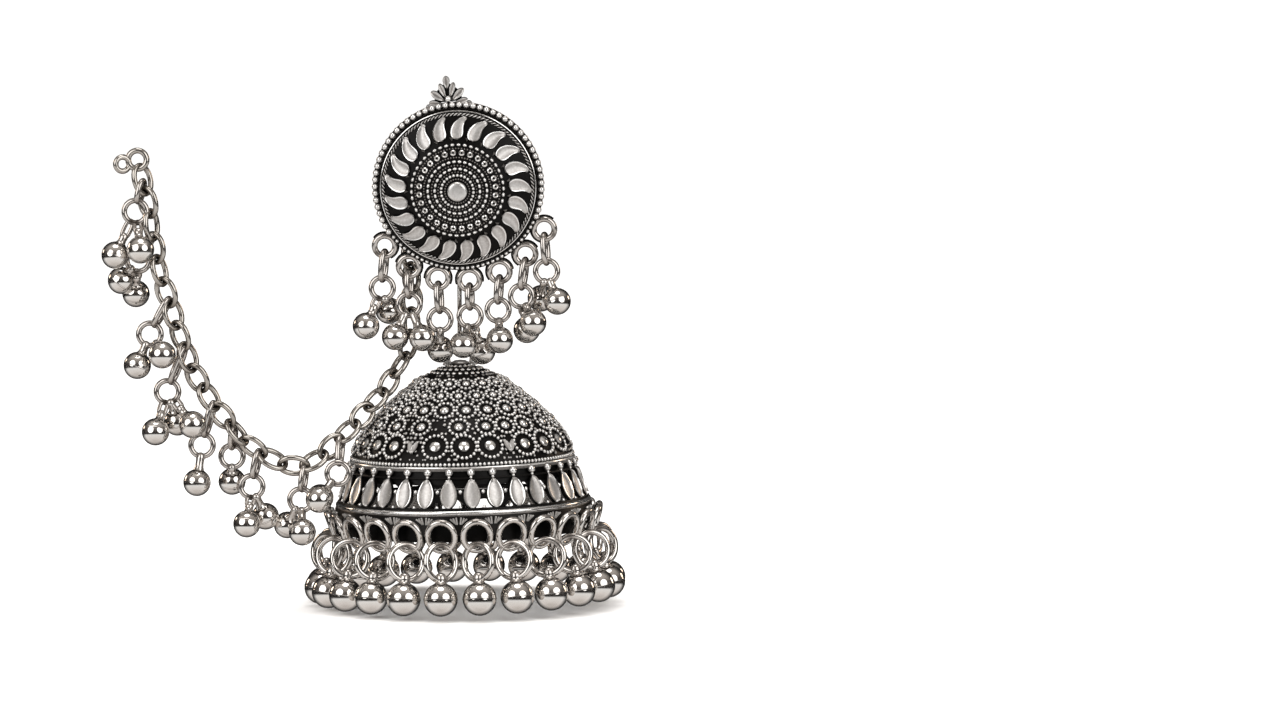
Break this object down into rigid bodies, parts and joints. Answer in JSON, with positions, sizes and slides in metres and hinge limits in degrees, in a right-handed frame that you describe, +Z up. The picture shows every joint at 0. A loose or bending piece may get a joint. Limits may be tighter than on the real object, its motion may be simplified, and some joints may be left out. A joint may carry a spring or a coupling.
{
  "type": "jhumka earring",
  "caption": "Oxidised silver bell earring: a petalled disc stud with short ball strands, a domed pierced bell fringed with ball drops, and a side chain with ball clusters up to a hair ring.",
  "frame": {"origin": "where the ear post leaves the back of the top disc, at the disc's centre", "axes": "+Z up, +Y from the face towards the wearer, +X to the right as the face is seen; the chain goes to -X"},
  "size_m": [0.0737, 0.0463, 0.0767],
  "materials": {
    "oxidised_silver": "oxidised white metal: black in the recesses, rubbed bright on the high points",
    "polished_silver": "polished white metal with dark patina in the joints",
    "chain_silver": "tumbled white metal, slightly dull",
    "steel_pin": "plain drawn wire"
  },
  "bodies": {
    "stud": {"top_disc": "oxidised_silver", "ear_post": "steel_pin", "strand_1": "polished_silver", "strand_2": "polished_silver", "strand_3": "polished_silver", "strand_4": "polished_silver", "strand_5": "polished_silver", "strand_6": "polished_silver", "strand_7": "polished_silver", "support_chain": "chain_silver", "chain_drop_1": "polished_silver", "chain_drop_2": "polished_silver", "chain_drop_3": "polished_silver", "chain_drop_4": "polished_silver", "chain_drop_5": "polished_silver", "chain_drop_6": "polished_silver", "chain_drop_7": "polished_silver", "chain_drop_8": "polished_silver", "chain_drop_9": "polished_silver", "hair_ring": "chain_silver"},
    "link": {"bell_link": "chain_silver"},
    "bell": {"bell": "oxidised_silver", "bell_drop_01": "polished_silver", "bell_drop_02": "polished_silver", "bell_drop_03": "polished_silver", "bell_drop_04": "polished_silver", "bell_drop_05": "polished_silver", "bell_drop_06": "polished_silver", "bell_drop_07": "polished_silver", "bell_drop_08": "polished_silver", "bell_drop_09": "polished_silver", "bell_drop_10": "polished_silver", "bell_drop_11": "polished_silver", "bell_drop_12": "polished_silver", "bell_drop_13": "polished_silver", "bell_drop_14": "polished_silver", "bell_drop_15": "polished_silver", "bell_drop_16": "polished_silver", "bell_drop_17": "polished_silver", "bell_drop_18": "polished_silver", "bell_drop_19": "polished_silver", "bell_drop_20": "polished_silver", "bell_drop_21": "polished_silver", "bell_drop_22": "polished_silver", "bell_drop_23": "polished_silver", "bell_drop_24": "polished_silver"}
  },
  "joints": [
    {"name": "bell_swing", "type": "hinge", "parent": "stud", "child": "link", "pos_m": [-0.0001, 0.0052, -0.0106], "axis": [1, 0, 0], "range_deg": [-1.5, 30]},
    {"name": "bell_sway", "type": "hinge", "parent": "link", "child": "bell", "pos_m": [-0.0001, 0.0052, -0.02432], "axis": [0, 1, 0], "range_deg": [-6, 2]}
  ]
}
